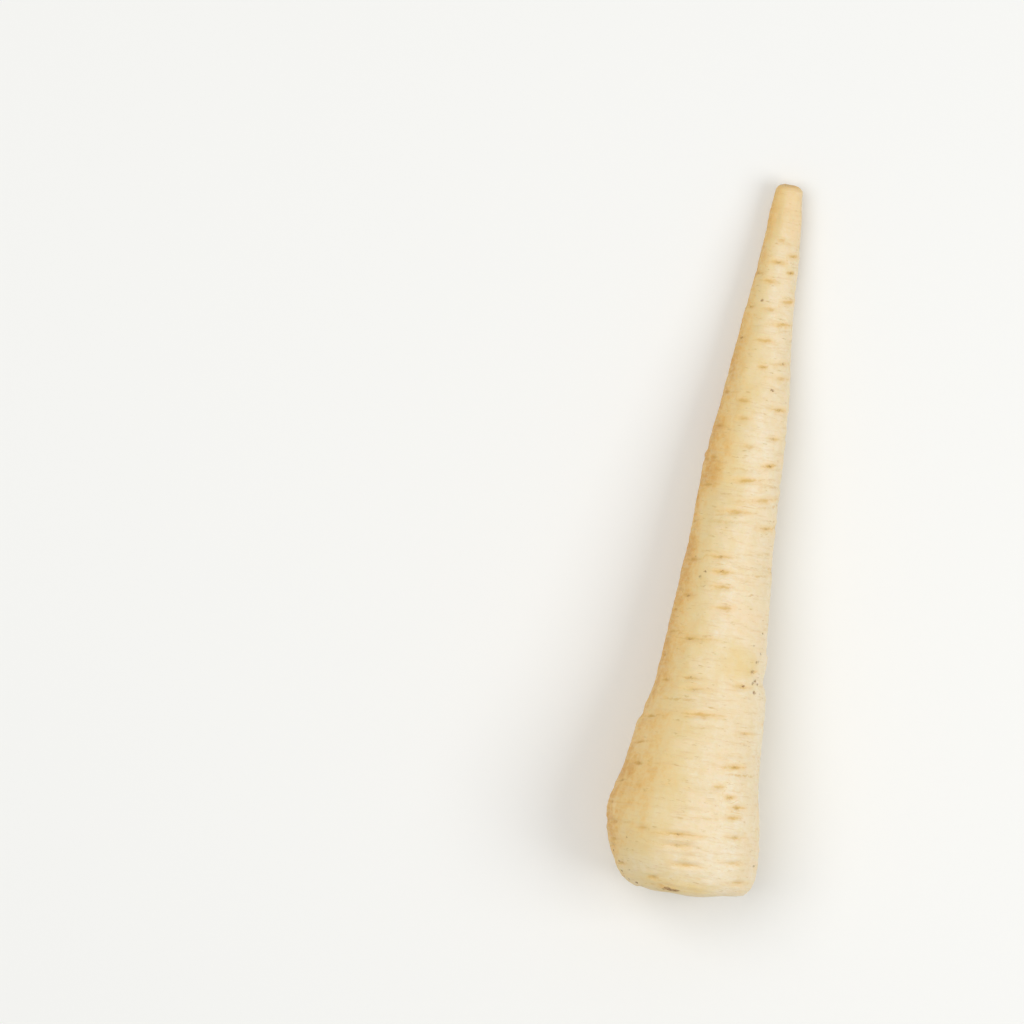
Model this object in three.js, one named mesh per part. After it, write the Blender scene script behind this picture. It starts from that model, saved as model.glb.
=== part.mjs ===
// A parsnip as it is sold: washed, with its leaves cut off and the thin end of its tail gone,
// lying on its side. Lengths are in millimetres. +X runs from the crown to the tail, +Z is up,
// and the origin is at the bottom centre of the root's box.
//
// The root is one surface. A place on it is given by a path, which runs from the middle of the
// crown out to the rim, over the shoulder and along to the tail, and by an angle round the
// root, which is 0 on the left (+Y) and a quarter turn at the top.
import * as THREE from "three";

// Driving dimensions
const LENGTH = 205; // from the rim of the crown to the end of the tail
const RIM_RADIUS = 12; // the rim of the hollow that the leaves grew from
const HEIGHT_SHARE = 0.95; // the root is a little flatter than it is wide
const SHOULDER_EASE = 12; // how softly the path turns from the crown's face to the side
const TAIL_CAP = 3; // length of the rounded end of the tail
const TAIL_FULLNESS = 2.6; // 2 would be a round end, more is blunter
const TAIL_PATH = 6; // length of the path over that end

// Each side widens from the rim to its first place, then follows its taper. The places are
// [distance from the crown, half width], and the last one is where the thin tip once ended.
const LEFT = {
  fullness: 1.56,
  taper: [
    [21, 24.3], [35, 21.2], [47, 19.1], [59, 16.0], [75, 14.6], [99, 13.4],
    [124, 11.6], [149, 9.2], [174, 6.6], [202, 3.7], [232, 1.0],
  ],
};
const RIGHT = {
  fullness: 2.6,
  taper: [
    [11.5, 20.9], [21, 20.1], [35, 17.9], [47, 16.6], [59, 15.4], [75, 13.7], [90, 12.7], [99, 11.7],
    [124, 10.4], [149, 8.6], [174, 6.6], [202, 3.9], [232, 1.0],
  ],
};
const MIDDLE_SHIFT = (LEFT.taper[0][1] - RIGHT.taper[0][1]) / 2;

// [distance from the crown, height of the root's axis]. The root lies on its shoulder and on
// its tail, and both are pressed flat where they touch.
const AXIS_HEIGHT = [[0, 20.1], [20, 20.55], [60, 17.0], [100, 13.4], [125, 11.2], [165, 6.9], [205, 5.4]];

// [distance from the crown's middle, depth below the rim]: the stub of the leaf stalks in the
// middle, a groove round it, and the wall that rises to the rim.
const CROWN_DEPTH = [[0, 2.5], [2.8, 2.2], [5.2, 2.9], [6.6, 4.4], [7.8, 4.8], [9.8, 2.2], [RIM_RADIUS, 0]];
const STUB_LOBES = { count: 3, share: 0.09 }; // how far from round the stub is
const STALK_RIDGES = { high: 0.4, apart: 1.7, reach: 6.4, waved: 0.8 };
const RIM_FOLDS = { deep: 0.3, count: 6, reach: 12 }; // soft folds that cross the rim
const RIM_BACK = { left: 0.5, right: 1.8 }; // how far the rim lies back at its two sides

// Low swellings: [height, how many round the root, length along it, turn in degrees]
const SWELLINGS = [[0.28, 2, 71, 20], [0.2, 3, 43, 140], [0.15, 5, 29, 260], [0.12, 1, 37, 75]];

// Where the side narrows in a step: [distance, angle in degrees, length round, depth, width]
const WAISTS = [
  [49.5, 5, 30, 0.5, 1.5], [63.5, 178, 30, 0.9, 3.0], [108, 40, 22, 0.35, 1.6], [137, 200, 20, 0.3, 1.6],
];

// Scars of side roots on the upper side: [distance, angle in degrees, length round the root]
const UPPER_SCARS = [
  [3.7, 61, 4], [6.3, 24, 6], [6, 142, 9], [8.8, 91, 12], [11.3, 132, 10], [12.7, 19, 6],
  [14.1, 83, 14], [17.2, 82, 13], [17.4, 55, 5], [18.7, 132, 9], [24.2, 127, 8], [27.2, 131, 6],
  [29.7, 122, 4], [32.3, 110, 4], [38.4, 125, 8], [48.2, 136, 7], [51.8, 84, 10], [58.8, 72, 9],
  [61.2, 124, 7], [61.7, 66, 8], [66, 139, 4], [72.7, 55, 13], [82.7, 90, 6], [84.7, 39, 6],
  [88.5, 84, 7], [92.7, 81, 6], [96.9, 76, 7],
];
const UPPER_SCARS_END = 100; // past here, and lower on the sides, the scars follow a rule
const RANKS = [25, 80, 130, 190, 245, 310]; // side roots grow in ranks, at these angles
const UPPER_RANKS = [80, 130];
const SCAR = { deep: 0.55, wide: 0.9, tilt: 0.08 };

// Marks that vary: each pair is the least and the most. A crease's length is in radii of the root.
const RANK_SCARS = {
  first: 7, last: 192, apart: [3.75, 11.25], stray: [-13, 13], long: [4, 12], deep: [0.28, 0.55],
  tilt: [0, 0.16],
};
const CREASES = {
  count: 80, distance: [3, 201], long: [0.5, 1.5], deep: [0.13, 0.38], wide: 0.9, tilt: [-0.05, 0.15],
};
const LIP = { high: 0.3, out: 2, sharp: 2 }; // the low lips of a groove, in its depths and widths
const THIN_AT = 12; // where the root is thinner than this radius, its marks are smaller too

// How finely the surface is divided
const AROUND = 36;
const CROWN_STEP = 0.9;
const BODY_STEP = 1.5;
const CAP_STEP = 1.2;
const NEARBY = 0.01; // the step, in millimetres or radians, that the skin's slope is taken over
const SEED = 7;

// Random numbers between a least and a most, the same on every run.
function randomSource(seed) {
  let state = seed;
  return ([least, most]) => {
    state = (state + 0x6d2b79f5) | 0;
    let mixed = Math.imul(state ^ (state >>> 15), 1 | state);
    mixed = (mixed + Math.imul(mixed ^ (mixed >>> 7), 61 | mixed)) ^ mixed;
    const share = ((mixed ^ (mixed >>> 14)) >>> 0) / 2 ** 32;
    return least + (most - least) * share;
  };
}

// A smooth curve through the places, level at both ends and with no overshoot between them.
function curve(places, at) {
  const last = places.length - 1;
  if (at <= places[0][0]) return places[0][1];
  if (at >= places[last][0]) return places[last][1];
  let i = 0;
  while (at > places[i + 1][0]) i += 1;
  const rise = (j) => (places[j + 1][1] - places[j][1]) / (places[j + 1][0] - places[j][0]);
  const slope = (j) => {
    if (j === 0 || j === last) return 0;
    const product = rise(j - 1) * rise(j);
    return product > 0 ? (2 * product) / (rise(j - 1) + rise(j)) : 0;
  };
  const width = places[i + 1][0] - places[i][0];
  const t = (at - places[i][0]) / width;
  const bend = t * t * (3 - 2 * t);
  const ends = slope(i) * t * (1 - t) ** 2 - slope(i + 1) * t * t * (1 - t);
  return places[i][1] + (places[i + 1][1] - places[i][1]) * bend + ends * width;
}

const pathAt = (distance) => RIM_RADIUS + Math.sqrt((distance + SHOULDER_EASE) ** 2 - SHOULDER_EASE ** 2);
const distanceAt = (path) => Math.hypot(path - RIM_RADIUS, SHOULDER_EASE) - SHOULDER_EASE;
const CAP_START = pathAt(LENGTH - TAIL_CAP);
const PATH_END = CAP_START + TAIL_PATH;

// Half the width of one side, at a distance from the crown.
function halfWidth(side, distance) {
  const [widest, wide] = side.taper[0];
  if (distance >= widest) return curve(side.taper, distance);
  const short = (1 - distance / widest) ** side.fullness;
  return RIM_RADIUS + (wide - RIM_RADIUS) * (1 - short) ** (1 / side.fullness);
}

const meanWidth = (distance) => (halfWidth(LEFT, distance) + halfWidth(RIGHT, distance)) / 2;

// The point of a cross-section, whose two halves may differ in width.
function sectionPoint(x, distance, left, right, angle) {
  const side = Math.cos(angle) > 0 ? left : right;
  const y = side * Math.cos(angle) - MIDDLE_SHIFT;
  const high = (HEIGHT_SHARE * (left + right)) / 2;
  const z = curve(AXIS_HEIGHT, distance) + high * Math.sin(angle);
  return new THREE.Vector3(x - LENGTH / 2, y, z);
}

// The root's surface before its scars and creases.
function smoothPoint(path, angle) {
  if (path <= RIM_RADIUS) {
    const between = Math.sin((Math.PI * path) / RIM_RADIUS);
    const lobe = 1 + STUB_LOBES.share * between * Math.cos(STUB_LOBES.count * angle);
    return sectionPoint(curve(CROWN_DEPTH, path * lobe), 0, path, path, angle);
  }
  if (path <= CAP_START) {
    const distance = distanceAt(path);
    return sectionPoint(distance, distance, halfWidth(LEFT, distance), halfWidth(RIGHT, distance), angle);
  }
  const turn = ((path - CAP_START) / TAIL_PATH) * (Math.PI / 2);
  const start = LENGTH - TAIL_CAP;
  const distance = start + TAIL_CAP * Math.sin(turn) ** (2 / TAIL_FULLNESS);
  const shrink = Math.max(0, Math.cos(turn)) ** (2 / TAIL_FULLNESS);
  const left = halfWidth(LEFT, start) * shrink;
  const right = halfWidth(RIGHT, start) * shrink;
  return sectionPoint(distance, distance, left, right, angle);
}

// How much smaller the marks are where the root is thin.
const thinness = (distance) => Math.min(1, meanWidth(distance) / THIN_AT);

// A groove that lies across the root.
function groove(distance, degrees, long, deep, wide, tilt) {
  const angle = THREE.MathUtils.degToRad(degrees);
  const radius = meanWidth(distance);
  const cut = deep * thinness(distance);
  return { path: pathAt(distance), angle, radius, half: long / 2, deep: cut, wide, tilt };
}

function scars(random) {
  const made = UPPER_SCARS.map(([distance, degrees, long]) => (
    groove(distance, degrees, long, SCAR.deep, SCAR.wide, SCAR.tilt)
  ));
  const { first, last, apart, stray, long, deep, tilt } = RANK_SCARS;
  for (const rank of RANKS) {
    let distance = (UPPER_RANKS.includes(rank) ? UPPER_SCARS_END : first) + random(apart);
    while (distance < last) {
      const degrees = rank + random(stray);
      const length = random(long) * thinness(distance);
      made.push(groove(distance, degrees, length, random(deep), SCAR.wide, random(tilt)));
      distance += random(apart);
    }
  }
  return made;
}

function creases(random) {
  const { count, distance, long, deep, wide, tilt } = CREASES;
  return Array.from({ length: count }, () => {
    const place = random(distance);
    const length = random(long) * meanWidth(place);
    return groove(place, random([0, 360]), length, random(deep), wide, random(tilt));
  });
}

function waists() {
  return WAISTS.map(([distance, degrees, long, deep, wide]) => (
    groove(distance, degrees, long, deep, wide, 0)
  ));
}

// A groove's depth at a place on the skin. Both of its edges have a low lip, where it is below 0.
function grooveDepth(made, path, angle) {
  const turn = Math.atan2(Math.sin(angle - made.angle), Math.cos(angle - made.angle));
  const along = (turn * made.radius) / made.half;
  if (Math.abs(along) >= 1) return 0;
  const across = Math.abs((path - made.path - made.tilt * turn * made.radius) / made.wide);
  const lip = LIP.high * Math.exp(-LIP.sharp * (across - LIP.out) ** 2);
  return made.deep * (1 - along ** 2) ** 2 * (Math.exp(-(across ** 2)) - lip);
}

// The ridges that the sheaths of the leaf stalks left on their stub, one inside the other.
function stalkRidges(path, angle) {
  const { high, apart, reach, waved } = STALK_RIDGES;
  if (path > reach) return 0;
  const turn = (2 * Math.PI * path) / apart + angle + waved * Math.sin(STUB_LOBES.count * angle);
  return high * Math.sin((Math.PI * path) / reach) * Math.cos(turn);
}

// How far the rim lies back, which is uneven round it.
function rimDepth(path, angle) {
  const away = Math.abs(path - RIM_RADIUS) / RIM_FOLDS.reach;
  if (away >= 1) return 0;
  const turn = RIM_FOLDS.count * angle + Math.sin(angle);
  const folds = (RIM_FOLDS.deep / 2) * (1 - Math.cos(turn));
  const back = Math.cos(angle) > 0 ? RIM_BACK.left : RIM_BACK.right;
  return (folds + back * Math.cos(angle) ** 2) * (1 - away ** 2) ** 2;
}

// How far the skin stands out from the smooth surface.
function relief(grooves, path, angle) {
  let out = stalkRidges(path, angle);
  if (path <= RIM_RADIUS) return out;
  const fade = Math.min(1, (path - RIM_RADIUS) / SHOULDER_EASE, (PATH_END - path) / SHOULDER_EASE);
  for (const [high, lobes, long, degrees] of SWELLINGS) {
    const turn = THREE.MathUtils.degToRad(degrees);
    out += high * fade * Math.cos(lobes * angle + turn) * Math.sin((2 * Math.PI * path) / long + turn);
  }
  for (const made of grooves) out -= grooveDepth(made, path, angle);
  return out;
}

// The finished skin, pressed flat where it rests.
function skinPoint(grooves, path, angle) {
  const point = smoothPoint(path, angle);
  const onward = smoothPoint(path + NEARBY, angle).sub(smoothPoint(path - NEARBY, angle));
  const round = smoothPoint(path, angle + NEARBY).sub(smoothPoint(path, angle - NEARBY));
  const normal = round.cross(onward).normalize();
  point.addScaledVector(normal, relief(grooves, path, angle));
  point.x += rimDepth(path, angle);
  point.z = Math.max(point.z, 0);
  return point;
}

// The places of the rings along the path, both of its ends left out.
function ringPaths() {
  const stretch = (from, to, step) => {
    const count = Math.round((to - from) / step);
    return Array.from({ length: count }, (_, i) => from + ((to - from) * (i + 1)) / count);
  };
  const crown = stretch(0, RIM_RADIUS, CROWN_STEP);
  const body = stretch(RIM_RADIUS, CAP_START, BODY_STEP);
  const cap = stretch(CAP_START, PATH_END, CAP_STEP);
  return [...crown, ...body, ...cap.slice(0, -1)];
}

function rootGeometry() {
  const random = randomSource(SEED);
  const grooves = [...scars(random), ...creases(random), ...waists()];
  const paths = ringPaths();
  const points = [smoothPoint(0, 0)];
  for (const path of paths) {
    for (let k = 0; k < AROUND; k += 1) points.push(skinPoint(grooves, path, (2 * Math.PI * k) / AROUND));
  }
  points.push(smoothPoint(PATH_END, 0));

  const at = (ring, k) => 1 + ring * AROUND + (k % AROUND);
  const lastRing = paths.length - 1;
  const end = points.length - 1;
  const corners = [];
  for (let k = 0; k < AROUND; k += 1) {
    corners.push(0, at(0, k + 1), at(0, k));
    for (let ring = 0; ring < lastRing; ring += 1) {
      corners.push(at(ring, k), at(ring, k + 1), at(ring + 1, k + 1));
      corners.push(at(ring, k), at(ring + 1, k + 1), at(ring + 1, k));
    }
    corners.push(at(lastRing, k), at(lastRing, k + 1), end);
  }
  const geometry = new THREE.BufferGeometry().setFromPoints(points);
  geometry.setIndex(corners);
  geometry.computeVertexNormals();
  return geometry;
}

function root() {
  const skin = new THREE.MeshStandardMaterial({ color: 0xecd6ab, roughness: 0.6, metalness: 0 });
  const mesh = new THREE.Mesh(rootGeometry(), skin);
  mesh.name = "root";
  return mesh;
}

const group = new THREE.Group();
group.add(root());

export default group;
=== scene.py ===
"""A parsnip lying on a pale floor, seen from above.

Lengths are in millimetres until a piece becomes a Blender mesh. The root's frame is the
CAD model's: +X from the crown to the tail, +Y to the fuller side of the shoulder, +Z up.
A place on the root is given by a path, from the middle of the crown out over the rim and
along to the tail, and by an angle round it, 0 on the +Y side and a quarter turn at the top.
"""
import math

import bpy
import numpy as np
from mathutils import Matrix, Vector, noise


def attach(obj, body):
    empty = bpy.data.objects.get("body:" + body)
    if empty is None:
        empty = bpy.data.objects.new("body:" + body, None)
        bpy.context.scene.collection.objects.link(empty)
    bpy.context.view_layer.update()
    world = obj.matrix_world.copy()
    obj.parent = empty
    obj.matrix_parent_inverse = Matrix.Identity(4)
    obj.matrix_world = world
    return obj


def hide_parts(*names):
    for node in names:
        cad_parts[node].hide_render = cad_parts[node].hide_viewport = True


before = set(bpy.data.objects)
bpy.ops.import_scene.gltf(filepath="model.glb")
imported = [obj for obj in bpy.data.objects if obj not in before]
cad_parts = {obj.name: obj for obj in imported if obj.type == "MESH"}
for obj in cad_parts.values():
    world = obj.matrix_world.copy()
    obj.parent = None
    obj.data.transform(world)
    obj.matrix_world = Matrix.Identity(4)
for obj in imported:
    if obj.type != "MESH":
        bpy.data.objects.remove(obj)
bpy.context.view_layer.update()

MM = 0.001

# The root's form, as the CAD source states it
LENGTH = 205.0  # from the rim of the crown to the end of the tail
RIM_RADIUS = 12.0  # the rim of the hollow that the leaves grew from
HEIGHT_SHARE = 0.95  # the root is a little flatter than it is wide
SHOULDER_EASE = 12.0  # how softly the path turns from the crown's face to the side
TAIL_CAP = 3.0  # length of the rounded end of the tail
TAIL_FULLNESS = 2.6  # 2 would be a round end, more is blunter
TAIL_PATH = 6.0  # length of the path over that end

# Each side widens from the rim to its first place, then follows its taper. The places are
# (distance from the crown, half width).
LEFT = {
    "fullness": 1.56,
    "taper": [
        (21, 24.3), (35, 21.2), (47, 19.1), (59, 16.0), (75, 14.6), (99, 13.4),
        (124, 11.6), (149, 9.2), (174, 6.6), (202, 3.7), (232, 1.0),
    ],
}
RIGHT = {
    "fullness": 2.6,
    "taper": [
        (11.5, 20.9), (21, 20.1), (35, 17.9), (47, 16.6), (59, 15.4), (75, 13.7), (90, 12.7),
        (99, 11.7), (124, 10.4), (149, 8.6), (174, 6.6), (202, 3.9), (232, 1.0),
    ],
}
MIDDLE_SHIFT = (LEFT["taper"][0][1] - RIGHT["taper"][0][1]) / 2

# (distance from the crown, height of the root's axis)
AXIS_HEIGHT = [(0, 20.1), (20, 20.55), (60, 17.0), (100, 13.4), (125, 11.2), (165, 6.9), (205, 5.4)]

# (distance from the crown's middle, depth below the rim)
CROWN_DEPTH = [(0, 2.5), (2.8, 2.2), (5.2, 2.9), (6.6, 4.4), (7.8, 4.8), (9.8, 2.2), (RIM_RADIUS, 0)]
STUB_LOBES = {"count": 3, "share": 0.09}  # how far from round the stub is
STALK_RIDGES = {"high": 0.4, "apart": 1.7, "reach": 6.4, "waved": 0.8}
RIM_FOLDS = {"deep": 0.3, "count": 6, "reach": 12.0}  # soft folds that cross the rim
RIM_BACK = {"left": 0.5, "right": 1.8}  # how far the rim lies back at its two sides

# Low swellings: (height, how many round the root, length along it, turn in degrees)
SWELLINGS = [(0.28, 2, 71, 20), (0.2, 3, 43, 140), (0.15, 5, 29, 260), (0.12, 1, 37, 75)]

# Where the side narrows in a step: (distance, angle in degrees, length round, depth, width)
WAISTS = [
    (49.5, 5, 30, 0.5, 1.5), (63.5, 178, 30, 0.9, 3.0), (108, 40, 22, 0.35, 1.6), (137, 200, 20, 0.3, 1.6),
]

# Scars of side roots on the upper side: (distance, angle in degrees, length round the root)
UPPER_SCARS = [
    (3.7, 61, 4), (6.3, 24, 6), (6, 142, 9), (8.8, 91, 12), (11.3, 132, 10), (12.7, 19, 6),
    (14.1, 83, 14), (17.2, 82, 13), (17.4, 55, 5), (18.7, 132, 9), (24.2, 127, 8), (27.2, 131, 6),
    (29.7, 122, 4), (32.3, 110, 4), (38.4, 125, 8), (48.2, 136, 7), (51.8, 84, 10), (58.8, 72, 9),
    (61.2, 124, 7), (61.7, 66, 8), (66, 139, 4), (72.7, 55, 13), (82.7, 90, 6), (84.7, 39, 6),
    (88.5, 84, 7), (92.7, 81, 6), (96.9, 76, 7),
]
UPPER_SCARS_END = 100  # past here, and lower round the root, the scars follow a rule
RANKS = [25, 80, 130, 190, 245, 310]  # side roots grow in ranks, at these angles
UPPER_RANKS = [80, 130]
SCAR = {"deep": 0.55, "wide": 0.9, "tilt": 0.08}

# Marks that vary: each pair is the least and the most. A crease's length is in radii of the root.
RANK_SCARS = {
    "first": 7, "last": 192, "apart": (3.75, 11.25), "stray": (-13, 13), "long": (4, 12),
    "deep": (0.28, 0.55), "tilt": (0, 0.16),
}
CREASES = {
    "count": 80, "distance": (3, 201), "long": (0.5, 1.5), "deep": (0.13, 0.38), "wide": 0.9,
    "tilt": (-0.05, 0.15),
}
LIP = {"high": 0.3, "out": 2, "sharp": 2}  # the low lips of a groove, in its depths and widths
THIN_AT = 12  # where the root is thinner than this radius, its marks are smaller too
GROOVE_REACH = 6  # past this many of its widths a groove and its lips are gone
SEED = 7

# How finely the visible skin is divided, and the step that its slope is taken over
AROUND = 160
RING_STEP = 0.37
NEARBY = 0.01

# Relief finer than the CAD solid holds: its height, its swings a millimetre along the path and
# across the root, and the shift that sets its noise apart from the others
WRINKLES = {"high": 0.08, "along": 0.9, "across": 0.1, "shift": 11.0}
BUMPS = {"high": 0.18, "along": 0.16, "across": 0.22, "shift": 47.0}
SHOULDER_RINGS = {"high": 0.12, "along": 0.55, "across": 0.07, "shift": 29.0}
HOLLOW_FIBRES = {"high": 0.3, "along": 0.5, "across": 0.9, "shift": 83.0}
FRACTAL = (1.0, 2.0, 3)  # how fast the noise's octaves weaken, how much finer each is, how many
SIDE_EASE = 6.0  # past the rim, the length of path over which the side's relief sets in
HOLLOW_EASE = 3.0  # inside the rim, the same for the fibres
RINGS_REACH = 12.0  # the rings are full this far from the rim, and gone twice as far

# How the marks' colours vary, as the least and the most: how many times as long as its groove a
# mark is, how strong it is, and how strong its speck is, with none below 0
SCAR_LOOKS = {"longer": (1.2, 1.9), "strong": (0.4, 1.0), "speck": (-0.5, 1.2)}
CREASE_LOOKS = {"longer": (0.9, 1.3), "strong": (0.3, 1.0)}
MARK_REACH = 2.4  # how far from its middle line a scar or a crease can colour the skin

SHADED_GOLDEN_SIDE = -5  # the angle in degrees of the side where the skin is most golden, painted warm shade on the side away from the key light

# Golden patches: (distance from the crown, angle in degrees, radius, how much more golden)
PATCHES = [
    (1.5, 78, 6, 0.4), (2.5, 108, 6, 0.45), (5, 141, 6, 0.4), (6, 42, 9, -0.14), (21, 107, 7, -0.22),
    (30, 67, 10, 0.08), (40, 250, 12, 0.2), (68, 128, 7, 0.55), (69, 45, 6, -0.08), (90, 205, 10, 0.2),
    (93, 109, 8, -0.15), (94, 8, 10, 0.1), (122, 70, 10, 0.12), (140, 300, 10, 0.12), (150, 105, 12, 0.15),
]

# Brown spots: (distance from the crown, angle in degrees, size). A spot's radius is about
# SPOT_REACH times (size - 0.6).
SPOT_REACH = 2.0
SPOT_STRETCH = 1.5  # how many times as long a spot is round the root as along it
SPOTS = [
    (0.5, 60, 0.7), (0.8, 70, 0.8), (0.9, 81, 1.2), (1.1, 87, 0.9), (1.2, 76, 1.05), (1.3, 33, 0.84),
    (2.1, 22, 0.78), (2.8, 14, 0.72), (4.2, 17, 0.82), (5.0, 35, 0.68), (5.4, 24, 0.7), (6.8, 20, 0.76),
    (7.4, 29, 0.66), (9.5, 12, 0.76), (11.3, 163, 0.85), (14.0, 40, 0.7), (15.2, 29, 0.7),
    (59.9, 154, 0.76), (60.1, 143, 0.87), (61.6, 127, 0.67), (62.8, 140, 0.76), (62.9, 152, 0.88),
    (63.5, 144, 0.8), (65.9, 139, 0.81), (68.7, 141, 0.66), (69.0, 147, 0.72), (71.2, 149, 0.8),
    (73.3, 135, 0.71), (77.0, 150, 0.7), (88.0, 62, 0.7), (90.5, 55, 0.7), (92.0, 60, 0.65),
    (96.0, 40, 0.7), (118.0, 75, 0.65), (146.0, 118, 0.75), (171.0, 66, 0.7),
]


# ---------------------------------------------------------------- the root's form

def random_source(seed):
    """Random numbers between a least and a most, drawn as the CAD source draws them."""
    word = 0xFFFFFFFF
    state = seed

    def draw(least, most):
        nonlocal state
        state = (state + 0x6D2B79F5) & word
        mixed = ((state ^ (state >> 15)) * (1 | state)) & word
        mixed = ((mixed + (((mixed ^ (mixed >> 7)) * (61 | mixed)) & word)) & word) ^ mixed
        return least + (most - least) * (mixed ^ (mixed >> 14)) / 2 ** 32

    return draw


def curve(places, at):
    """A smooth curve through the places, level at both ends and with no overshoot."""
    x, y = np.array(places, float).T
    rise = np.diff(y) / np.diff(x)
    product = rise[:-1] * rise[1:]
    total = np.where(product > 0, rise[:-1] + rise[1:], 1)
    slope = np.zeros_like(x)
    slope[1:-1] = np.where(product > 0, 2 * product / total, 0)
    at = np.clip(at, x[0], x[-1])
    i = np.clip(np.searchsorted(x, at, side="right") - 1, 0, len(x) - 2)
    width = x[i + 1] - x[i]
    t = (at - x[i]) / width
    bend = t * t * (3 - 2 * t)
    ends = slope[i] * t * (1 - t) ** 2 - slope[i + 1] * t * t * (1 - t)
    return y[i] + (y[i + 1] - y[i]) * bend + ends * width


def path_at(distance):
    return RIM_RADIUS + math.sqrt((distance + SHOULDER_EASE) ** 2 - SHOULDER_EASE ** 2)


def distance_at(path):
    return np.hypot(path - RIM_RADIUS, SHOULDER_EASE) - SHOULDER_EASE


CAP_START = path_at(LENGTH - TAIL_CAP)
PATH_END = CAP_START + TAIL_PATH


def half_width(side, distance):
    """Half the width of one side, at a distance from the crown."""
    widest, wide = side["taper"][0]
    short = np.clip(1 - distance / widest, 0, 1) ** side["fullness"]
    shoulder = RIM_RADIUS + (wide - RIM_RADIUS) * (1 - short) ** (1 / side["fullness"])
    return np.where(distance >= widest, curve(side["taper"], distance), shoulder)


def mean_width(distance):
    return float(half_width(LEFT, distance) + half_width(RIGHT, distance)) / 2


def section_points(x, distance, left, right, angle):
    """The points of cross-sections, whose two halves may differ in width."""
    side = np.where(np.cos(angle) > 0, left, right)
    y = side * np.cos(angle) - MIDDLE_SHIFT
    high = HEIGHT_SHARE * (left + right) / 2
    z = curve(AXIS_HEIGHT, distance) + high * np.sin(angle)
    return np.stack([x - LENGTH / 2, y, z], axis=-1)


def smooth_points(path, angle):
    """The root's surface before its scars and creases, for arrays of paths and angles."""
    between = np.sin(math.pi * np.clip(path, 0, RIM_RADIUS) / RIM_RADIUS)
    lobe = 1 + STUB_LOBES["share"] * between * np.cos(STUB_LOBES["count"] * angle)
    flat = np.zeros_like(path)
    crown = section_points(curve(CROWN_DEPTH, path * lobe), flat, path, path, angle)

    distance = distance_at(np.clip(path, RIM_RADIUS, CAP_START))
    left = half_width(LEFT, distance)
    right = half_width(RIGHT, distance)
    body = section_points(distance, distance, left, right, angle)

    turn = np.clip((path - CAP_START) / TAIL_PATH, 0, 1) * math.pi / 2
    start = LENGTH - TAIL_CAP
    onward = start + TAIL_CAP * np.sin(turn) ** (2 / TAIL_FULLNESS)
    shrink = np.clip(np.cos(turn), 0, 1) ** (2 / TAIL_FULLNESS)
    left = half_width(LEFT, start) * shrink
    right = half_width(RIGHT, start) * shrink
    cap = section_points(onward, onward, left, right, angle)

    on_crown = (path <= RIM_RADIUS)[..., None]
    on_body = (path <= CAP_START)[..., None]
    return np.where(on_crown, crown, np.where(on_body, body, cap))


# ---------------------------------------------------------------- scars and creases

def thinness(distance):
    """How much smaller the marks are where the root is thin."""
    return min(1, mean_width(distance) / THIN_AT)


def groove(distance, degrees, long, deep, wide, tilt):
    """A groove that lies across the root."""
    return {
        "path": path_at(distance),
        "angle": math.radians(degrees),
        "radius": mean_width(distance),
        "half": long / 2,
        "deep": deep * thinness(distance),
        "wide": wide,
        "tilt": tilt,
    }


def make_scars(draw):
    made = []
    for distance, degrees, long in UPPER_SCARS:
        made.append(groove(distance, degrees, long, SCAR["deep"], SCAR["wide"], SCAR["tilt"]))
    rule = RANK_SCARS
    for rank in RANKS:
        start = UPPER_SCARS_END if rank in UPPER_RANKS else rule["first"]
        distance = start + draw(*rule["apart"])
        while distance < rule["last"]:
            degrees = rank + draw(*rule["stray"])
            long = draw(*rule["long"]) * thinness(distance)
            deep = draw(*rule["deep"])
            made.append(groove(distance, degrees, long, deep, SCAR["wide"], draw(*rule["tilt"])))
            distance += draw(*rule["apart"])
    return made


def make_creases(draw):
    rule = CREASES
    made = []
    for _ in range(rule["count"]):
        distance = draw(*rule["distance"])
        long = draw(*rule["long"]) * mean_width(distance)
        degrees, deep, tilt = draw(0, 360), draw(*rule["deep"]), draw(*rule["tilt"])
        made.append(groove(distance, degrees, long, deep, rule["wide"], tilt))
    return made


def make_waists():
    return [groove(*waist, tilt=0) for waist in WAISTS]


def groove_coordinates(made, path, angle):
    """How far along and across a groove each place is, in its half lengths and widths."""
    turn = np.arctan2(np.sin(angle - made["angle"]), np.cos(angle - made["angle"]))
    around = turn * made["radius"]
    along = around / made["half"]
    across = (path - made["path"] - made["tilt"] * around) / made["wide"]
    return along, across


def groove_depth(made, path, angle):
    along, across = groove_coordinates(made, path, angle)
    lip = LIP["high"] * np.exp(-LIP["sharp"] * (np.abs(across) - LIP["out"]) ** 2)
    profile = np.exp(-across ** 2) - lip
    return made["deep"] * np.clip(1 - along ** 2, 0, 1) ** 2 * profile


def near(made, paths, reach):
    """The rings of the grid that a groove can touch."""
    return np.abs(paths - made["path"]) < reach


def stalk_ridges(path, angle):
    ridge = STALK_RIDGES
    turn = 2 * math.pi * path / ridge["apart"] + angle
    turn = turn + ridge["waved"] * np.sin(STUB_LOBES["count"] * angle)
    fade = np.sin(math.pi * np.clip(path / ridge["reach"], 0, 1))
    return ridge["high"] * fade * np.cos(turn)


def rim_depth(path, angle):
    """How far the rim lies back, which is uneven round it."""
    away = np.clip(np.abs(path - RIM_RADIUS) / RIM_FOLDS["reach"], 0, 1)
    turn = RIM_FOLDS["count"] * angle + np.sin(angle)
    folds = RIM_FOLDS["deep"] / 2 * (1 - np.cos(turn))
    back = np.where(np.cos(angle) > 0, RIM_BACK["left"], RIM_BACK["right"])
    return (folds + back * np.cos(angle) ** 2) * (1 - away ** 2) ** 2


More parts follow.
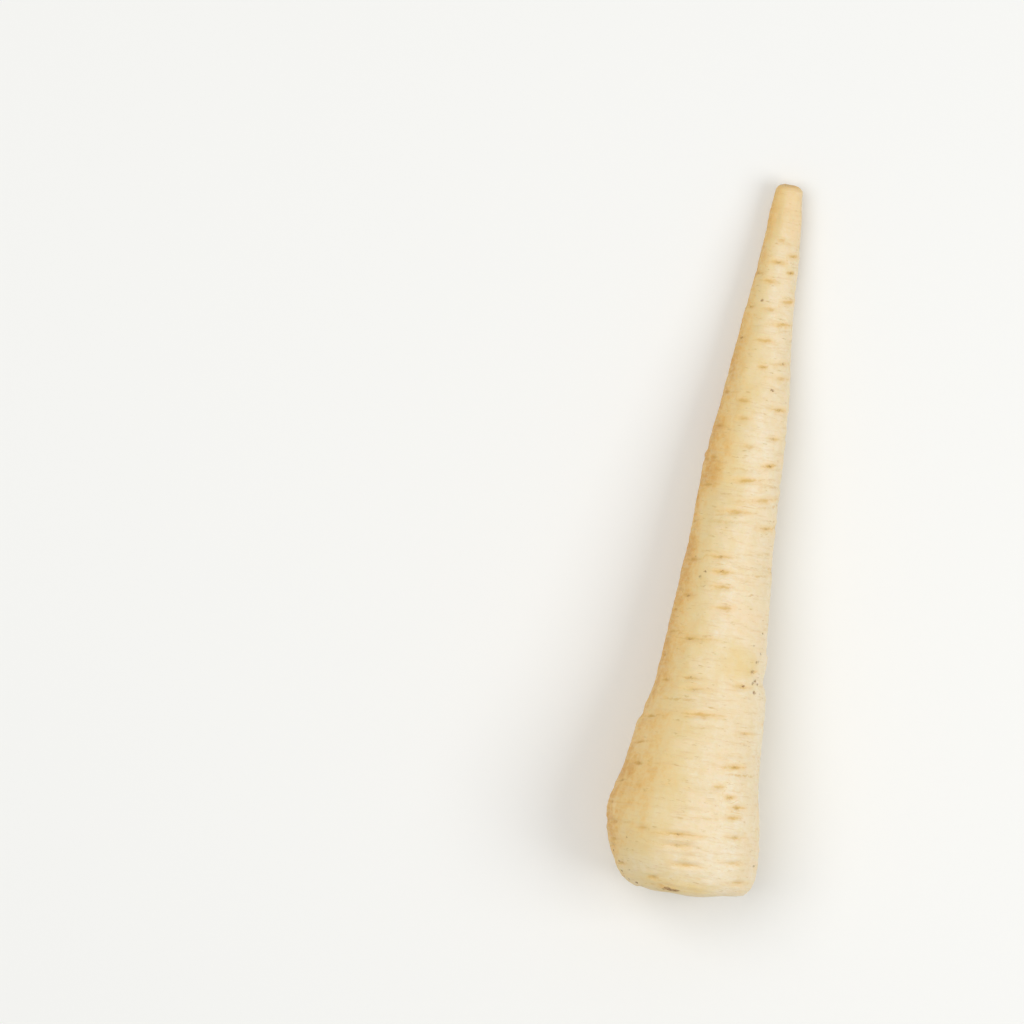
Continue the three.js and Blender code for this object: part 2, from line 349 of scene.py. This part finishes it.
def swellings(path, angle):
    fade = np.clip((path - RIM_RADIUS) / SHOULDER_EASE, 0, 1)
    fade = np.minimum(fade, (PATH_END - path) / SHOULDER_EASE)
    out = np.zeros_like(path)
    for high, lobes, long, degrees in SWELLINGS:
        turn = math.radians(degrees)
        out += high * fade * np.cos(lobes * angle + turn) * np.sin(2 * math.pi * path / long + turn)
    return out


# ---------------------------------------------------------------- what only the skin shows

def noise_at(places, kind):
    """Smooth noise, about -1 to 1, at places in millimetres."""
    shift = Vector((kind["shift"], -kind["shift"], kind["shift"] / 2))
    flat = places.reshape(-1, 3) * np.array([kind["along"], kind["across"], kind["across"]])
    values = [noise.fractal(Vector(place) + shift, *FRACTAL) for place in flat]
    return np.array(values).reshape(places.shape[:-1])


def fine_relief(points, path):
    """Wrinkles that run round the root and its uneven skin, finer than the CAD solid holds."""
    places = np.concatenate([path[..., None], points[..., 1:]], axis=-1)
    on_side = WRINKLES["high"] * noise_at(places, WRINKLES)
    on_side += BUMPS["high"] * noise_at(places, BUMPS)
    near_crown = np.clip(2 - (path - RIM_RADIUS) / RINGS_REACH, 0, 1)
    on_side += SHOULDER_RINGS["high"] * near_crown * noise_at(places, SHOULDER_RINGS)
    off_crown = np.clip((path - RIM_RADIUS) / SIDE_EASE, 0, 1)
    in_hollow = np.clip((RIM_RADIUS - path) / HOLLOW_EASE, 0, 1)
    return off_crown * on_side + HOLLOW_FIBRES["high"] * in_hollow * noise_at(places, HOLLOW_FIBRES)


def make_looks(rule, marks, draw):
    return [{name: draw(*span) for name, span in rule.items()} for _ in marks]


def nearest_marks(marks, looks, paths, path, angle):
    """Of the mark that is strongest at each place: its strength there, that of its speck, and
    the place's distance from the mark's middle line and from its middle."""
    strength = np.zeros_like(path)
    speck = np.zeros_like(path)
    from_line = np.full_like(path, MARK_REACH)
    from_middle = np.full_like(path, MARK_REACH)
    for made, look in zip(marks, looks):
        rows = near(made, paths, 2 * MARK_REACH)  # twice, as a mark's tilt takes it off its path
        along, across = groove_coordinates(made, path[rows], angle[rows])
        beside = across * made["wide"]
        fade = np.clip(1 - (along / look["longer"]) ** 2, 0, 1)
        here = fade * np.clip(2 - 2 * np.abs(beside) / MARK_REACH, 0, 1) * look["strong"]
        stronger = here > strength[rows]
        strength[rows] = np.where(stronger, here, strength[rows])
        speck[rows] = np.where(stronger, look.get("speck", 0), speck[rows])
        from_line[rows] = np.where(stronger, beside, from_line[rows])
        from_middle[rows] = np.where(stronger, along * made["half"], from_middle[rows])
    return strength, speck, from_line, from_middle


def spot_strengths(paths, path, angle):
    """A cone over each spot, as high in the middle as the spot's size."""
    out = np.zeros_like(path)
    for distance, degrees, size in SPOTS:
        spot = groove(distance, degrees, long=2 * SPOT_STRETCH, deep=0, wide=1, tilt=0)
        rows = near(spot, paths, SPOT_REACH)
        along, across = groove_coordinates(spot, path[rows], angle[rows])
        out[rows] = np.maximum(out[rows], size - np.hypot(along, across) / SPOT_REACH)
    return out


def golden_and_shade_strengths(path, angle):
    """How golden the skin is: most on one side, as painted warm shade away from the key light, with patches
    of the skin's own tone that are more or less so.
    """
    # Painted shade: more golden towards the side that the key light doesn't reach
    golden_and_shade = 0.5 + 0.5 * np.cos(angle - math.radians(SHADED_GOLDEN_SIDE))
    for distance, degrees, radius, more in PATCHES:
        patch = groove(distance, degrees, long=2 * radius, deep=0, wide=radius, tilt=0)
        along, across = groove_coordinates(patch, path, angle)
        golden_and_shade += more * np.exp(-along ** 2 - across ** 2)
    return golden_and_shade


def skin_strengths(scars, creases, paths, path, angle):
    """What the skin's colours follow at each place, by the name of the mesh attribute."""
    draw = random_source(SEED + 1)
    scar_looks = make_looks(SCAR_LOOKS, scars, draw)
    crease_looks = make_looks(CREASE_LOOKS, creases, draw)
    scar, speck, scar_across, scar_along = nearest_marks(scars, scar_looks, paths, path, angle)
    crease, _, crease_across, _ = nearest_marks(creases, crease_looks, paths, path, angle)
    return {
        "scar": scar,
        "speck": np.maximum(speck, 0),
        "scar_across": scar_across,
        "scar_along": scar_along,
        "crease": crease,
        "crease_across": crease_across,
        "spot": spot_strengths(paths, path, angle),
        # golden skin, with painted warm shade on the side away from the key light
        "golden_and_shade": golden_and_shade_strengths(path, angle),
        "from_rim": path - RIM_RADIUS,
        "from_tail": PATH_END - path,
        "ridge": stalk_ridges(path, angle) / STALK_RIDGES["high"],
    }


# ---------------------------------------------------------------- the mesh

def ring_paths():
    """The places of the rings along the path, both of its ends left out."""
    crown = np.linspace(0, RIM_RADIUS, round(RIM_RADIUS / RING_STEP) + 1)[1:]
    body = np.linspace(RIM_RADIUS, CAP_START, round((CAP_START - RIM_RADIUS) / RING_STEP) + 1)[1:]
    cap = np.linspace(CAP_START, PATH_END, round(TAIL_PATH / RING_STEP) + 1)[1:-1]
    return np.concatenate([crown, body, cap])


def skin_normals(path, angle):
    onward = smooth_points(path + NEARBY, angle) - smooth_points(path - NEARBY, angle)
    around = smooth_points(path, angle + NEARBY) - smooth_points(path, angle - NEARBY)
    normals = np.cross(around, onward)
    return normals / np.linalg.norm(normals, axis=-1, keepdims=True)


def grid_faces(rings):
    """Corner numbers of the triangles at both ends and of the four-sided faces between."""
    def at(ring, k):
        return 1 + ring * AROUND + k % AROUND

    end = 1 + rings * AROUND
    faces = [(0, at(0, k + 1), at(0, k)) for k in range(AROUND)]
    for ring in range(rings - 1):
        for k in range(AROUND):
            faces.append((at(ring, k), at(ring, k + 1), at(ring + 1, k + 1), at(ring + 1, k)))
    faces += [(at(rings - 1, k), at(rings - 1, k + 1), end) for k in range(AROUND)]
    return faces


def unwrap(mesh, paths):
    """Lays the skin out flat: round the root across, and along the path upwards."""
    layer = mesh.uv_layers.new(name="OFBake")
    corners = np.empty(len(mesh.loops), int)
    mesh.loops.foreach_get("vertex_index", corners)
    number = corners - 1
    end = len(paths) * AROUND
    ring = np.clip(number // AROUND, 0, len(paths) - 1)
    up = np.where(number < 0, 0.0, np.where(number >= end, PATH_END, paths[ring])) / PATH_END
    turn = np.where((number < 0) | (number >= end), 0, number % AROUND)
    across = np.empty(len(corners))
    for face in mesh.polygons:
        turns = [turn[i] for i in face.loop_indices]
        wraps = max(turns) == AROUND - 1 and 0 in turns
        for i in face.loop_indices:
            at_pole = number[i] < 0 or number[i] >= end
            k = turn[i]
            if at_pole:
                others = [turn[j] for j in face.loop_indices if j != i]
                k = AROUND - 0.5 if set(others) == {0, AROUND - 1} else sum(others) / 2
            elif wraps and k == 0:
                k = AROUND
            across[i] = k / AROUND
    flat = np.stack([across, up], axis=-1)
    layer.data.foreach_set("uv", flat.ravel())


def build_root():
    draw = random_source(SEED)
    scars = make_scars(draw)
    creases = make_creases(draw)
    grooves = scars + creases + make_waists()

    paths = ring_paths()
    angles = np.arange(AROUND) * 2 * math.pi / AROUND
    path, angle = np.meshgrid(paths, angles, indexing="ij")
    points = smooth_points(path, angle)
    out = stalk_ridges(path, angle) + swellings(path, angle)
    for made in grooves:
        rows = near(made, paths, GROOVE_REACH * made["wide"]) & (paths > RIM_RADIUS)
        out[rows] -= groove_depth(made, path[rows], angle[rows])
    out += fine_relief(points, path)
    points = points + skin_normals(path, angle) * out[..., None]
    points[..., 0] += rim_depth(path, angle)
    points[..., 2] = np.maximum(points[..., 2], 0)

    ends = smooth_points(np.array([0.0, PATH_END]), np.zeros(2))
    vertices = np.concatenate([ends[:1], points.reshape(-1, 3), ends[1:]])
    mesh = bpy.data.meshes.new("parsnip_root")
    mesh.from_pydata((vertices * MM).tolist(), [], grid_faces(len(paths)))
    mesh.polygons.foreach_set("use_smooth", np.ones(len(mesh.polygons), bool))

    strengths = skin_strengths(scars, creases, paths, path, angle)
    for name, values in strengths.items():
        layer = mesh.attributes.new(name, "FLOAT", "POINT")
        padded = np.concatenate([values[0, :1], values.ravel(), values[-1, :1]])
        layer.data.foreach_set("value", padded.astype(np.float32))
    unwrap(mesh, paths)

    root = bpy.data.objects.new("parsnip_root", mesh)
    bpy.context.collection.objects.link(root)
    return root


# ---------------------------------------------------------------- materials

class Shader:
    """A new material and short ways to add and join its nodes."""

    def __init__(self, name):
        self.material = bpy.data.materials.new(name)
        self.material.use_nodes = True
        self.tree = self.material.node_tree
        self.surface = self.tree.nodes["Principled BSDF"]

    def add(self, kind, settings=None, **inputs):
        made = self.tree.nodes.new("ShaderNode" + kind)
        for name, value in (settings or {}).items():
            setattr(made, name, value)
        for name, value in inputs.items():
            self.put(made.inputs[name.replace("_", " ")], value)
        return made

    def put(self, socket, value):
        if isinstance(value, bpy.types.NodeSocket):
            self.tree.links.new(value, socket)
        else:
            socket.default_value = value

    def attribute(self, name):
        return self.add("Attribute", {"attribute_name": name}).outputs["Fac"]

    def noise(self, along, across, detail, roughness):
        """Noise with so many swings a metre along the path over the skin and across the root."""
        place = self.add("SeparateXYZ", Vector=self.add("TexCoord").outputs["Object"])
        onward = self.times(self.attribute("from_rim"), MM)
        skin_place = self.add("CombineXYZ", X=onward, Y=place.outputs["Y"], Z=place.outputs["Z"])
        scale = (along, across, across)
        stretched = self.add("Mapping", Vector=skin_place.outputs["Vector"], Scale=scale)
        vector = stretched.outputs["Vector"]
        made = self.add("TexNoise", Vector=vector, Scale=1.0, Detail=detail, Roughness=roughness)
        return made.outputs["Fac"]

    def math(self, operation, *values):
        made = self.add("Math", {"operation": operation})
        for socket, value in zip(made.inputs, values):
            self.put(socket, value)
        return made.outputs[0]

    def times(self, first, second):
        return self.math("MULTIPLY", first, second)

    def plus(self, first, second):
        return self.math("ADD", first, second)

    def absolute(self, value):
        return self.math("ABSOLUTE", value)

    def swinging(self, value, wide):
        """Noise taken from about a half to about 0, and so many times as wide."""
        return self.times(self.math("SUBTRACT", value, 0.5), wide)

    def between(self, value, low, high, to_low, to_high):
        """The value, taken smoothly from its low and high to the two results."""
        made = self.add("MapRange", {"interpolation_type": "SMOOTHSTEP"}, Value=value)
        for name, number in zip(("From Min", "From Max", "To Min", "To Max"), (low, high, to_low, to_high)):
            made.inputs[name].default_value = number
        return made.outputs["Result"]

    def rising(self, value, start, full, strength=1.0):
        return self.between(value, start, full, 0.0, strength)

    def fading(self, value, full, gone, strength):
        return self.between(value, full, gone, strength, 0.0)

    def mix(self, share, first, second):
        """A mix of two colours. The node's sockets for numbers have the same names as these."""
        made = self.add("Mix", {"data_type": "RGBA"})
        self.put(made.inputs[0], share)
        self.put(made.inputs[6], first)
        self.put(made.inputs[7], second)
        return made.outputs[2]


def colour(red, green, blue):
    """A colour given as 8-bit sRGB, as the linear values that a shader takes."""
    def linear(value):
        share = value / 255
        return share / 12.92 if share <= 0.04045 else ((share + 0.055) / 1.055) ** 2.4

    return (linear(red), linear(green), linear(blue), 1.0)


CREAM = colour(237, 219, 185)
PALE = colour(240, 227, 200)
BLUSH = colour(240, 216, 180)
YELLOW = colour(231, 207, 152)
GOLD = colour(234, 198, 132)
DEEP_GOLD = colour(226, 175, 86)
OCHRE = colour(210, 154, 76)
TAN = colour(224, 194, 142)
DEEP_TAN = colour(200, 165, 100)
AMBER = colour(212, 172, 92)
DEEP_AMBER = colour(197, 147, 52)
BROWN = colour(150, 106, 52)
SPOT_BROWN = colour(128, 78, 16)
STALK_BROWN = colour(138, 96, 48)
STALK_TAN = colour(206, 178, 126)
# painted shade in the groove round the stalks' stub
PAINTED_GROOVE_SHADE = colour(96, 62, 30)
TAIL_TAN = colour(212, 180, 128)

# The noises: swings a metre along the path and across the root, detail and roughness
NOISES = {
    "gold_and_shade_edge": (80, 100, 7.0, 0.7),
    "blotches": (260, 300, 4.0, 0.6),
    "wander": (700, 500, 4.0, 0.7),
    "gaps": (600, 420, 4.0, 0.7),
    "grains": (1300, 900, 3.0, 0.7),
    "fibres": (900, 600, 5.0, 0.75),
    "ripples": (1300, 200, 5.0, 0.65),
    "pores": (1700, 1700, 3.0, 0.6),
}

# How far a noise moves the edges of what it makes uneven
SWINGS = {"gold_and_shade_edge": 0.9, "wander": 1.6, "spots": 0.6, "hollow": 9.0}

# Layers of colour, each by its own noise: the colour, the noise as above, and where in the
# noise the colour starts, where it is full and how strong it is there
UNDER_GOLD = [
    (PALE, (25, 90, 5.0, 0.6), (0.4, 0.66, 1.0)),  # clouds
    (BLUSH, (90, 60, 4.0, 0.6), (0.54, 0.72, 0.75)),  # warmer clouds
]
OVER_GOLD = [
    (YELLOW, (700, 500, 5.0, 0.75), (0.35, 0.7, 0.52)),  # mottle
    (TAN, (1100, 110, 5.0, 0.72), (0.51, 0.66, 0.48)),  # dashes round the root
    (DEEP_TAN, (1000, 260, 4.0, 0.7), (0.58, 0.72, 0.6)),  # flecks
]

# The steps to the golden side, which is partly painted warm shade on the side away from the key light: how
# golden the skin is where each colour starts and is full, and the colour's strength
GOLDEN_AND_SHADE_STEPS = [
    (YELLOW, (0.35, 0.75, 1.0)), (GOLD, (0.65, 0.95, 1.0)),
    (DEEP_GOLD, (0.76, 1.05, 1.0)), (OCHRE, (0.88, 1.1, 0.75)),
]

# Where a share starts, where it is full and, unless it is 1, how much it is there
RISES = {
    "blotches": (0.53, 0.63, 0.5),
    # the limb of the golden side, where ochre blotches paint warm shade
    "shaded_golden_limb": (0.86, 0.98),
    # marks turn deeper amber on the golden side, which is partly painted shade
    "golden_and_shade_marks": (0.7, 1.0),
    "gaps": (0.38, 0.6),
    "grains": (0.44, 0.58),
    "spot": (0.5, 0.72, 0.85),
    "pale_fibres": (0.36, 0.56),
    "ridges": (-0.6, 0.4),
    "tail_fibres": (0.35, 0.6),
}

# Up to which distance a share is full, at which it is gone, and how much it is. The distances
# are from the rim, less than 0 inside it, from a mark, or from the end of the tail.
FADES = {
    "less_golden_and_shade_near_crown": (6.0, 22.0, -0.18),
    "crease": (0.1, 0.55, 0.58),
    "halo": (0.2, 1.7, 0.6),
    "streak": (0.08, 0.42, 0.62),
    "spindle": (0.15, 0.8, 0.58),
    "spindle_along": (0.5, 2.6, 1.0),
    "speck": (0.15, 0.75, 0.7),
    "hollow": (-3.4, -0.4, 0.9),
    # painted shade in the groove round the stalks' stub
    "stalk_groove_painted_shade": (0.2, 2.2, 0.55),
    "stub": (-8.5, -6.5, 0.9),
    "near_tail": (5.0, 30.0, 0.45),
    "at_tail": (2.0, 5.0, 0.85),
}
SPECK_ALONG = 0.6  # how fast a speck fades along its scar, where across it is 1
SPOT_LEAST = 0.6  # what the grains leave of a spot's colour between them
STALK_GROOVE = 4.8  # how far inside the rim the groove round the stalks' stub is deepest, where its painted shade is darkest

BUMP = {"strength": 0.33, "metres": 0.0003, "pores": 0.5}
ROUGHNESS = {"low": 0.3, "high": 0.7, "to_low": 0.48, "to_high": 0.62}  # over the ripples
SURFACE = {
    "Specular IOR Level": 0.35,
    "Subsurface Weight": 0.2,
    "Subsurface Radius": (1.0, 0.6, 0.3),
    "Subsurface Scale": 0.002,
}
FLOOR_COLOUR = colour(243, 243, 240)
FLOOR_ROUGHNESS = 0.9


def colour_layers(skin, body, layers):
    for tint, pattern, span in layers:
        body = skin.mix(skin.rising(skin.noise(*pattern), *span), body, tint)
    return body


def colour_clouds(skin):
    """The skin away from its marks: cream, golden on one side, where the gold is partly painted warm shade
    away from the key light, with clouds, dashes and flecks.
    """
    body = colour_layers(skin, CREAM, UNDER_GOLD)

    # Painted warm shade: the golden steps follow the side away from the key light, with a ragged edge, less
    # of it near the crown, and the skin's own golden patches
    ragged = skin.swinging(skin.noise(*NOISES["gold_and_shade_edge"]), SWINGS["gold_and_shade_edge"])
    near_crown = skin.fading(skin.attribute("from_rim"), *FADES["less_golden_and_shade_near_crown"])
    golden_and_shade = skin.plus(skin.plus(skin.attribute("golden_and_shade"), near_crown), ragged)
    for tint, span in GOLDEN_AND_SHADE_STEPS:
        body = skin.mix(skin.rising(golden_and_shade, *span), body, tint)

    # Ochre blotches on the golden side's limb only: painted warm shade where the light falls off, broken up
    # by noise
    blotches = skin.rising(skin.noise(*NOISES["blotches"]), *RISES["blotches"])
    shaded_limb = skin.rising(skin.attribute("golden_and_shade"), *RISES["shaded_golden_limb"])
    body = skin.mix(skin.times(blotches, shaded_limb), body, OCHRE)
    return colour_layers(skin, body, OVER_GOLD)


def colour_marks(skin, body):
    """Creases, then scars: an amber spindle that ends in thin streaks, with a brown speck in
    some. Brown spots last."""
    wander = skin.swinging(skin.noise(*NOISES["wander"]), SWINGS["wander"])
    broken = skin.rising(skin.noise(*NOISES["gaps"]), *RISES["gaps"])
    # The marks turn deeper amber on the golden side, so they are darker where its warm shade is painted
    mark = skin.mix(skin.rising(skin.attribute("golden_and_shade"), *RISES["golden_and_shade_marks"]), AMBER, DEEP_AMBER)

    from_crease = skin.absolute(skin.plus(skin.attribute("crease_across"), wander))
    crease = skin.times(skin.attribute("crease"), skin.fading(from_crease, *FADES["crease"]))
    body = skin.mix(skin.times(crease, broken), body, mark)

    from_scar = skin.absolute(skin.plus(skin.attribute("scar_across"), wander))
    along = skin.absolute(skin.attribute("scar_along"))
    halo = skin.fading(from_scar, *FADES["halo"])
    streak = skin.times(skin.fading(from_scar, *FADES["streak"]), broken)
    short = skin.fading(along, *FADES["spindle_along"])
    spindle = skin.times(skin.fading(from_scar, *FADES["spindle"]), short)
    for share, tint in ((halo, GOLD), (streak, mark), (spindle, mark)):
        body = skin.mix(skin.times(skin.attribute("scar"), share), body, tint)

    apart = skin.plus(skin.times(along, SPECK_ALONG), from_scar)
    grains = skin.rising(skin.noise(*NOISES["grains"]), *RISES["grains"])
    speck = skin.times(skin.fading(apart, *FADES["speck"]), grains)
    body = skin.mix(skin.times(skin.attribute("speck"), speck), body, BROWN)

    ragged_spot = skin.plus(skin.attribute("spot"), skin.times(wander, SWINGS["spots"]))
    grainy = skin.between(grains, 0.0, 1.0, SPOT_LEAST, 1.0)
    spot = skin.times(skin.rising(ragged_spot, *RISES["spot"]), grainy)
    return skin.mix(spot, body, SPOT_BROWN)


def colour_ends(skin, body):
    """The hollow of the crown with the stub of the leaf stalks in it and painted shade in the groove round
    the stub, and the end of the tail.
    """
    fibres = skin.noise(*NOISES["fibres"])
    from_rim = skin.attribute("from_rim")
    ragged = skin.plus(from_rim, skin.swinging(fibres, SWINGS["hollow"]))
    stalk = skin.mix(skin.rising(fibres, *RISES["pale_fibres"]), STALK_BROWN, STALK_TAN)
    body = skin.mix(skin.fading(ragged, *FADES["hollow"]), body, stalk)
    # Painted shade: dark brown in the groove round the stalks' stub, where the hollow is deepest
    from_groove = skin.absolute(skin.plus(from_rim, STALK_GROOVE))
    body = skin.mix(skin.fading(from_groove, *FADES["stalk_groove_painted_shade"]), body, PAINTED_GROOVE_SHADE)
    stub = skin.mix(skin.rising(skin.attribute("ridge"), *RISES["ridges"]), stalk, STALK_TAN)
    body = skin.mix(skin.fading(ragged, *FADES["stub"]), body, stub)

    from_tail = skin.attribute("from_tail")
    body = skin.mix(skin.fading(from_tail, *FADES["near_tail"]), body, GOLD)
    tail = skin.mix(skin.rising(fibres, *RISES["tail_fibres"]), DEEP_GOLD, TAIL_TAN)
    return skin.mix(skin.fading(from_tail, *FADES["at_tail"]), body, tail)


def skin_material():
    skin = Shader("root_skin")
    body = colour_ends(skin, colour_marks(skin, colour_clouds(skin)))
    ripples = skin.noise(*NOISES["ripples"])
    pores = skin.noise(*NOISES["pores"])
    height = skin.plus(ripples, skin.times(pores, BUMP["pores"]))
    bump = skin.add("Bump", Strength=BUMP["strength"], Distance=BUMP["metres"], Height=height)

    inputs = skin.surface.inputs
    skin.put(inputs["Base Color"], body)
    skin.put(inputs["Roughness"], skin.between(ripples, **ROUGHNESS))
    skin.put(inputs["Normal"], bump.outputs["Normal"])
    for name, value in SURFACE.items():
        skin.put(inputs[name], value)
    return skin.material


def floor_material():
    paper = Shader("pale_floor")
    paper.put(paper.surface.inputs["Base Color"], FLOOR_COLOUR)
    paper.put(paper.surface.inputs["Roughness"], FLOOR_ROUGHNESS)
    return paper.material


# ---------------------------------------------------------------- floor, light and camera

# Sizes and places in metres, powers in watts
FLOOR_SIZE = 3.0
SOFTBOXES = {
    "key": {"place": (-0.05, -0.82, 0.9), "side": 0.7, "power": 5.2},
    "fill": {"place": (0.1, 0.5, 1.25), "side": 1.0, "power": 7.0},
}
LIT_PLACE = (0, 0, 0.02)
WORLD_COLOUR = (1.0, 1.0, 1.0, 1.0)
WORLD_STRENGTH = 0.5
NEAR_CLIP = 0.01

# In the photograph's pixels and in millimetres
PHOTO_SIDE = 1024
MM_PER_PIXEL = 0.285
CROWN_PIXEL = (678.5, 894.3)  # where the middle of the crown's rim shows in the photograph
LEAN = math.radians(9.0)  # how far the root leans to the right of upright there
LENS = 600.0  # long, so that the marks high on the root show where the photograph has them
SENSOR = 36.0
OUTLINE_HEIGHT = 20.0  # the height of the root's widest line, where the scale is true


def make_floor():
    half = FLOOR_SIZE / 2
    corners = [(-half, -half, 0), (half, -half, 0), (half, half, 0), (-half, half, 0)]
    mesh = bpy.data.meshes.new("floor")
    mesh.from_pydata(corners, [], [(0, 1, 2, 3)])
    floor = bpy.data.objects.new("floor", mesh)
    floor.data.materials.append(floor_material())
    bpy.context.collection.objects.link(floor)


def make_softbox(name, place, side, power):
    lamp = bpy.data.lights.new(name, "AREA")
    lamp.shape = "SQUARE"
    lamp.size = side
    lamp.energy = power
    softbox = bpy.data.objects.new(name, lamp)
    bpy.context.collection.objects.link(softbox)
    toward = Vector(LIT_PLACE) - Vector(place)
    softbox.location = place
    softbox.rotation_euler = toward.to_track_quat("-Z", "Y").to_euler()


def make_lights():
    for name, box in SOFTBOXES.items():
        make_softbox(name, **box)
    world = bpy.data.worlds.new("studio")
    world.use_nodes = True
    background = world.node_tree.nodes["Background"].inputs
    background["Color"].default_value = WORLD_COLOUR
    background["Strength"].default_value = WORLD_STRENGTH
    bpy.context.scene.world = world
    bpy.context.scene.view_settings.view_transform = "Standard"


def make_camera():
    """Looks straight down, turned so that the root leans as it does in the photograph."""
    right = Vector((math.sin(LEAN), -math.cos(LEAN), 0))
    up = Vector((math.cos(LEAN), math.sin(LEAN), 0))
    crown = Vector((-LENGTH / 2, -MIDDLE_SHIFT, 0))
    to_right = (PHOTO_SIDE / 2 - CROWN_PIXEL[0]) * MM_PER_PIXEL
    to_top = (CROWN_PIXEL[1] - PHOTO_SIDE / 2) * MM_PER_PIXEL
    middle = crown + right * to_right + up * to_top
    away = PHOTO_SIDE * MM_PER_PIXEL * LENS / SENSOR

    lens = bpy.data.cameras.new("camera")
    lens.lens = LENS
    lens.sensor_width = SENSOR
    lens.clip_start = NEAR_CLIP
    camera = bpy.data.objects.new("camera", lens)
    bpy.context.collection.objects.link(camera)
    turn = Matrix((right, up, right.cross(up))).transposed()
    place = Vector((middle.x, middle.y, OUTLINE_HEIGHT + away)) * MM
    camera.matrix_world = Matrix.Translation(place) @ turn.to_4x4()
    bpy.context.scene.camera = camera


root = build_root()
root.data.materials.append(skin_material())
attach(root, "root")
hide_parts("root")
make_floor()
make_lights()
make_camera()
